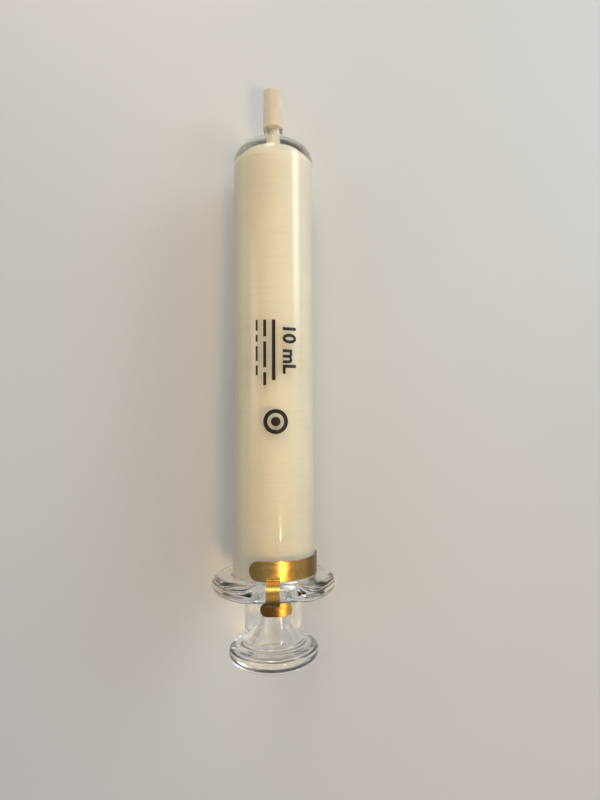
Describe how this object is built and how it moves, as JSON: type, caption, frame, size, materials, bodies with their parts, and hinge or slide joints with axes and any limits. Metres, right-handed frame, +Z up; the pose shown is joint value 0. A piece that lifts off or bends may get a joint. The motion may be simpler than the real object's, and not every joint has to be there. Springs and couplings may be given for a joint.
{
  "type": "glass syringe",
  "caption": "All-glass Luer syringe with a sliding ground-glass plunger, thumb knob, flat-sided finger flange and a sprung brass retaining clip.",
  "frame": {"origin": "on the surface that the syringe lies on, under the middle of its length and width", "axes": "+Y along the syringe's axis towards the Luer tip, +Z up and square to the flange's two flats, +X to the right"},
  "size_m": [0.0258, 0.1222, 0.0235],
  "materials": {
    "clear_glass": "clear, fire polished",
    "tip_glass": "clear root and waist, ground cone",
    "ground_glass": "ground, white and matt",
    "brass": "rolled strip, worn and tarnished",
    "enamel": "dark brown enamel fired on the glass"
  },
  "bodies": {
    "barrel": {"barrel_tube": "clear_glass", "finger_flange": "clear_glass", "luer_tip": "tip_glass", "graduation_scale": "enamel", "front_mark": "enamel", "clip_band": "brass"},
    "plunger": {"plunger_body": "ground_glass", "plunger_shank": "clear_glass", "plunger_knob": "clear_glass"},
    "clip_tongue": {"clip_tongue": "brass"}
  },
  "joints": [
    {"name": "plunger_slide", "type": "slide", "parent": "barrel", "child": "plunger", "axis": [0, -1, 0], "range_m": [0, 0.066]},
    {"name": "clip_flex", "type": "hinge", "parent": "barrel", "child": "clip_tongue", "pos_m": [-0.00062, -0.0416, 0.02023], "axis": [-0.9976, 0, -0.0698], "range_deg": [0, 6], "stiffness_Nm_per_rad": 0.1}
  ]
}
